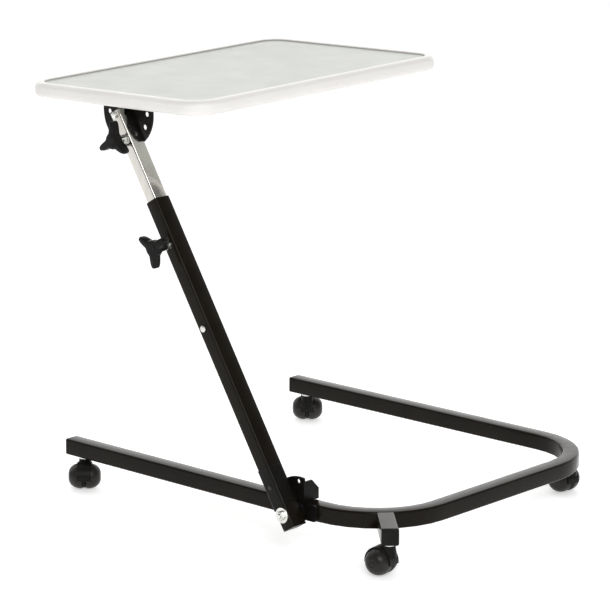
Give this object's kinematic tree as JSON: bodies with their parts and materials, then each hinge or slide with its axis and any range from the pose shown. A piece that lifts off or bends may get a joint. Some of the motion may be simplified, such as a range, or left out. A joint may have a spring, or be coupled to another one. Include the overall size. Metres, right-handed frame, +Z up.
{
  "type": "overbed table",
  "caption": "Rolling overbed table with a rectangular rimmed top, a leaning telescopic side mast with clamp knobs, and a low U-shaped tube base on twin-wheel casters.",
  "frame": {"origin": "on the floor, below the middle of the bounding box, with the wheels touching z = 0", "axes": "+Z up; +X from the base's open end to its closed end; +Y from the mast's leg to the far leg"},
  "size_m": [0.773, 0.6944, 0.7104],
  "materials": {
    "dark_bronze_paint": "satin dark bronze powder coat",
    "bright_chrome": "bright plated",
    "zinc_plate": "bright zinc plate",
    "black_paint": "satin black",
    "black_plastic": "fine moulded texture",
    "wheel_plastic": "smooth moulded, slightly worn",
    "white_moulding": "smooth satin white",
    "pale_laminate": "fine grained pale laminate",
    "nylon": "dark nylon"
  },
  "bodies": {
    "base": {"base_frame": "dark_bronze_paint", "outrigger": "dark_bronze_paint", "end_cap_near_leg": "black_plastic", "end_cap_far_leg": "black_plastic", "end_cap_outrigger": "black_plastic", "caster_near_left_collar": "zinc_plate", "caster_far_left_collar": "zinc_plate", "caster_far_right_collar": "zinc_plate", "caster_near_right_collar": "zinc_plate", "base_bracket": "black_paint", "pivot_washer": "zinc_plate", "pivot_nut": "zinc_plate", "pivot_bolt": "zinc_plate", "pivot_spacer": "black_plastic"},
    "mast": {"mast_tube": "dark_bronze_paint", "mast_foot_cap": "black_plastic", "mast_top_bush": "black_plastic", "index_bolt": "zinc_plate", "stop_screw": "zinc_plate", "height_nut": "zinc_plate"},
    "height_knob": {"height_knob": "black_plastic", "height_knob_stud": "zinc_plate"},
    "inner_mast": {"inner_tube": "bright_chrome", "inner_tube_top_plug": "black_plastic", "inner_tube_guide": "nylon", "tilt_pivot_bolt": "zinc_plate", "tilt_pivot_washer": "zinc_plate", "tilt_pivot_nut": "zinc_plate", "tilt_clamp_washer": "zinc_plate", "tilt_clamp_nut": "zinc_plate"},
    "tilt_knob": {"tilt_knob": "black_plastic", "tilt_knob_stud": "zinc_plate"},
    "tabletop": {"tilt_bracket": "black_paint", "support_rail": "black_paint", "rail_screw_1": "zinc_plate", "rail_screw_2": "zinc_plate", "rail_screw_3": "zinc_plate", "rail_screw_4": "zinc_plate", "bracket_bolt_1": "zinc_plate", "bracket_bolt_2": "zinc_plate", "tabletop_panel": "pale_laminate", "tabletop_rim": "white_moulding"},
    "caster_near_left": {"caster_near_left_hood": "black_plastic", "caster_near_left_axle": "zinc_plate"},
    "caster_near_left_left_wheel": {"caster_near_left_wheel_left": "wheel_plastic"},
    "caster_near_left_right_wheel": {"caster_near_left_wheel_right": "wheel_plastic"},
    "caster_far_left": {"caster_far_left_hood": "black_plastic", "caster_far_left_axle": "zinc_plate"},
    "caster_far_left_left_wheel": {"caster_far_left_wheel_left": "wheel_plastic"},
    "caster_far_left_right_wheel": {"caster_far_left_wheel_right": "wheel_plastic"},
    "caster_far_right": {"caster_far_right_hood": "black_plastic", "caster_far_right_axle": "zinc_plate"},
    "caster_far_right_left_wheel": {"caster_far_right_wheel_left": "wheel_plastic"},
    "caster_far_right_right_wheel": {"caster_far_right_wheel_right": "wheel_plastic"},
    "caster_near_right": {"caster_near_right_hood": "black_plastic", "caster_near_right_axle": "zinc_plate"},
    "caster_near_right_left_wheel": {"caster_near_right_wheel_left": "wheel_plastic"},
    "caster_near_right_right_wheel": {"caster_near_right_wheel_right": "wheel_plastic"}
  },
  "joints": [
    {"name": "mast_lean", "type": "hinge", "parent": "base", "child": "mast", "pos_m": [0.1788, -0.29, 0.06515], "axis": [0, -1, 0], "range_deg": [-30, 30]},
    {"name": "height_knob_turn", "type": "hinge", "parent": "mast", "child": "height_knob", "pos_m": [-0.06546, -0.306, 0.46142], "axis": [0, 1, 0], "continuous": true},
    {"name": "height_slide", "type": "slide", "parent": "mast", "child": "inner_mast", "axis": [-0.5247, 0, 0.8513], "range_m": [-0.09, 0.16]},
    {"name": "tilt_knob_turn", "type": "hinge", "parent": "inner_mast", "child": "tilt_knob", "pos_m": [-0.16343, -0.304, 0.62035], "axis": [0, 1, 0], "continuous": true},
    {"name": "tabletop_tilt", "type": "hinge", "parent": "inner_mast", "child": "tabletop", "pos_m": [-0.18563, -0.29, 0.65636], "axis": [0, -1, 0], "range_deg": [-30, 90]},
    {"name": "caster_near_left_swivel", "type": "hinge", "parent": "base", "child": "caster_near_left", "pos_m": [-0.3232, -0.25015, 0.047], "axis": [0, 0, 1], "continuous": true},
    {"name": "caster_near_left_left_spin", "type": "hinge", "parent": "caster_near_left", "child": "caster_near_left_left_wheel", "pos_m": [-0.31383, -0.26055, 0.0215], "axis": [-0.7431, -0.6691, 0], "continuous": true},
    {"name": "caster_near_left_right_spin", "type": "hinge", "parent": "caster_near_left", "child": "caster_near_left_right_wheel", "pos_m": [-0.31383, -0.26055, 0.0215], "axis": [-0.7431, -0.6691, 0], "continuous": true},
    {"name": "caster_far_left_swivel", "type": "hinge", "parent": "base", "child": "caster_far_left", "pos_m": [-0.3232, 0.30935, 0.047], "axis": [0, 0, 1], "continuous": true},
    {"name": "caster_far_left_left_spin", "type": "hinge", "parent": "caster_far_left", "child": "caster_far_left_left_wheel", "pos_m": [-0.3322, 0.32007, 0.0215], "axis": [0.766, 0.6428, 0], "continuous": true},
    {"name": "caster_far_left_right_spin", "type": "hinge", "parent": "caster_far_left", "child": "caster_far_left_right_wheel", "pos_m": [-0.3322, 0.32007, 0.0215], "axis": [0.766, 0.6428, 0], "continuous": true},
    {"name": "caster_far_right_swivel", "type": "hinge", "parent": "base", "child": "caster_far_right", "pos_m": [0.30318, 0.27179, 0.047], "axis": [0, 0, 1], "continuous": true},
    {"name": "caster_far_right_left_spin", "type": "hinge", "parent": "caster_far_right", "child": "caster_far_right_left_wheel", "pos_m": [0.28932, 0.27374, 0.0215], "axis": [0.1392, 0.9903, 0], "continuous": true},
    {"name": "caster_far_right_right_spin", "type": "hinge", "parent": "caster_far_right", "child": "caster_far_right_right_wheel", "pos_m": [0.28932, 0.27374, 0.0215], "axis": [0.1392, 0.9903, 0], "continuous": true},
    {"name": "caster_near_right_swivel", "type": "hinge", "parent": "base", "child": "caster_near_right", "pos_m": [0.36651, -0.26791, 0.047], "axis": [0, 0, 1], "continuous": true},
    {"name": "caster_near_right_left_spin", "type": "hinge", "parent": "caster_near_right", "child": "caster_near_right_left_wheel", "pos_m": [0.35265, -0.26986, 0.0215], "axis": [-0.1392, 0.9903, 0], "continuous": true},
    {"name": "caster_near_right_right_spin", "type": "hinge", "parent": "caster_near_right", "child": "caster_near_right_right_wheel", "pos_m": [0.35265, -0.26986, 0.0215], "axis": [-0.1392, 0.9903, 0], "continuous": true}
  ]
}
